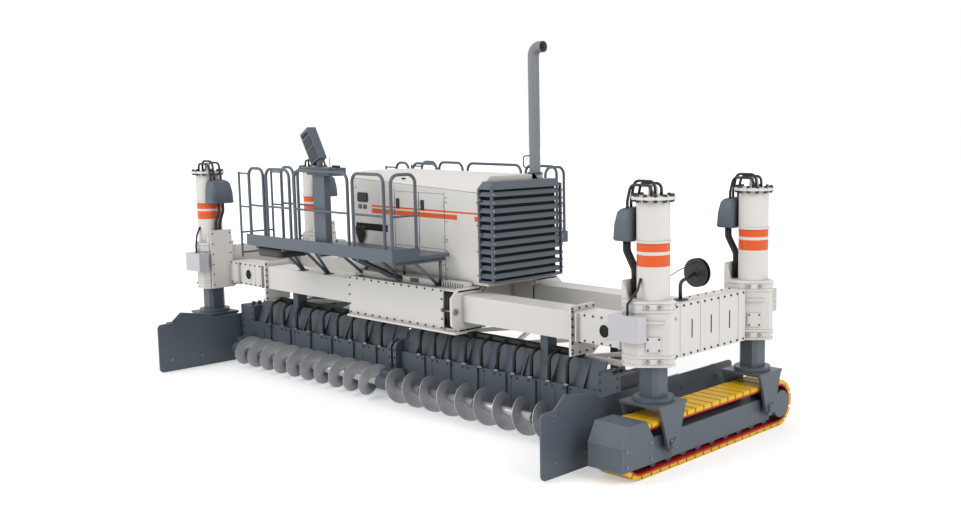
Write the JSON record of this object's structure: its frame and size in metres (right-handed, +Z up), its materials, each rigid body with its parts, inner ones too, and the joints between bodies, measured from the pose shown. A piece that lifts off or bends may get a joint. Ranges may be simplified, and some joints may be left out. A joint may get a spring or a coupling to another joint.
{
  "type": "slipform paver",
  "caption": "Slipform concrete paver on two crawler tracks, with an augered paving mold between height-adjusting columns, a walkway and an engine hood.",
  "frame": {"origin": "on the ground, at the middle of the whole machine's outline in plan", "axes": "+X across the machine to its right-hand track in the picture, -Y the direction of travel, +Z up"},
  "size_m": [9.299, 3.6, 4.6225],
  "materials": {
    "white_paint": "satin enamel",
    "grey_paint": "satin enamel",
    "mold_paint": "satin enamel, scuffed",
    "track_pads": "moulded polyurethane",
    "auger_steel": "worn steel",
    "black_rubber": "matte",
    "cast_iron": "cast",
    "dark_plastic": "matte"
  },
  "bodies": {
    "main_frame": {"auger_carriers": "mold_paint", "beam_brackets": "white_paint", "column_clamps": "white_paint", "column_covers": "grey_paint", "column_tubes": "white_paint", "console": "dark_plastic", "console_post": "grey_paint", "cross_girders": "white_paint", "deck_frame": "white_paint", "end_frames": "white_paint", "engine_block": "cast_iron", "exhaust_pipe": "grey_paint", "front_beam": "white_paint", "front_housing": "white_paint", "front_railing": "grey_paint", "hood_grille": "grey_paint", "hood_panels": "grey_paint", "hood_posts": "white_paint", "hood_roof": "white_paint", "ladder": "grey_paint", "mold_ends": "mold_paint", "mold_hangers": "mold_paint", "mold_pan": "mold_paint", "mold_trough": "mold_paint", "mold_wall": "mold_paint", "rear_beam": "white_paint", "rear_housing": "white_paint", "rear_railing": "grey_paint", "valve_boxes": "white_paint", "vibrator_hoses": "black_rubber", "walkway": "grey_paint", "walkway_brackets": "grey_paint"},
    "left_undercarriage": {"left_legs": "grey_paint", "left_yokes": "grey_paint", "left_track": "track_pads", "left_track_frame": "grey_paint", "left_guard": "grey_paint", "left_drive": "grey_paint"},
    "left_auger_body": {"left_auger": "auger_steel"},
    "left_side_plate_body": {"left_side_plate": "grey_paint"},
    "right_undercarriage": {"right_legs": "grey_paint", "right_yokes": "grey_paint", "right_track": "track_pads", "right_track_frame": "grey_paint", "right_guard": "grey_paint", "right_drive": "grey_paint"},
    "right_auger_body": {"right_auger": "auger_steel"},
    "right_side_plate_body": {"right_side_plate": "grey_paint"},
    "front_door_1_body": {"front_door_1": "white_paint"},
    "front_door_2_body": {"front_door_2": "white_paint"},
    "rear_door_1_body": {"rear_door_1": "white_paint"},
    "rear_door_2_body": {"rear_door_2": "white_paint"}
  },
  "joints": [
    {"name": "left_height", "type": "slide", "parent": "main_frame", "child": "left_undercarriage", "axis": [0, 0, 1], "range_m": [-0.65, 0.32]},
    {"name": "left_auger_spin", "type": "hinge", "parent": "main_frame", "child": "left_auger_body", "pos_m": [-1, -0.74, 0.263], "axis": [1, 0, 0], "continuous": true},
    {"name": "left_side_plate_height", "type": "slide", "parent": "main_frame", "child": "left_side_plate_body", "axis": [0, 0, 1], "range_m": [-0.19, 0.1]},
    {"name": "right_height", "type": "slide", "parent": "main_frame", "child": "right_undercarriage", "axis": [0, 0, 1], "range_m": [-0.65, 0.32]},
    {"name": "right_auger_spin", "type": "hinge", "parent": "main_frame", "child": "right_auger_body", "pos_m": [1, -0.74, 0.263], "axis": [1, 0, 0], "continuous": true},
    {"name": "right_side_plate_height", "type": "slide", "parent": "main_frame", "child": "right_side_plate_body", "axis": [0, 0, 1], "range_m": [-0.19, 0.1]},
    {"name": "front_door_1_hinge", "type": "hinge", "parent": "main_frame", "child": "front_door_1_body", "pos_m": [0.166, -0.2745, 2.2], "axis": [0, 0, 1], "range_deg": [0, 100]},
    {"name": "front_door_2_hinge", "type": "hinge", "parent": "main_frame", "child": "front_door_2_body", "pos_m": [0.666, -0.2745, 2.2], "axis": [0, 0, 1], "range_deg": [0, 100]},
    {"name": "rear_door_1_hinge", "type": "hinge", "parent": "main_frame", "child": "rear_door_1_body", "pos_m": [0.166, 0.8945, 2.2], "axis": [0, 0, -1], "range_deg": [0, 100]},
    {"name": "rear_door_2_hinge", "type": "hinge", "parent": "main_frame", "child": "rear_door_2_body", "pos_m": [0.666, 0.8945, 2.2], "axis": [0, 0, -1], "range_deg": [0, 100]}
  ]
}
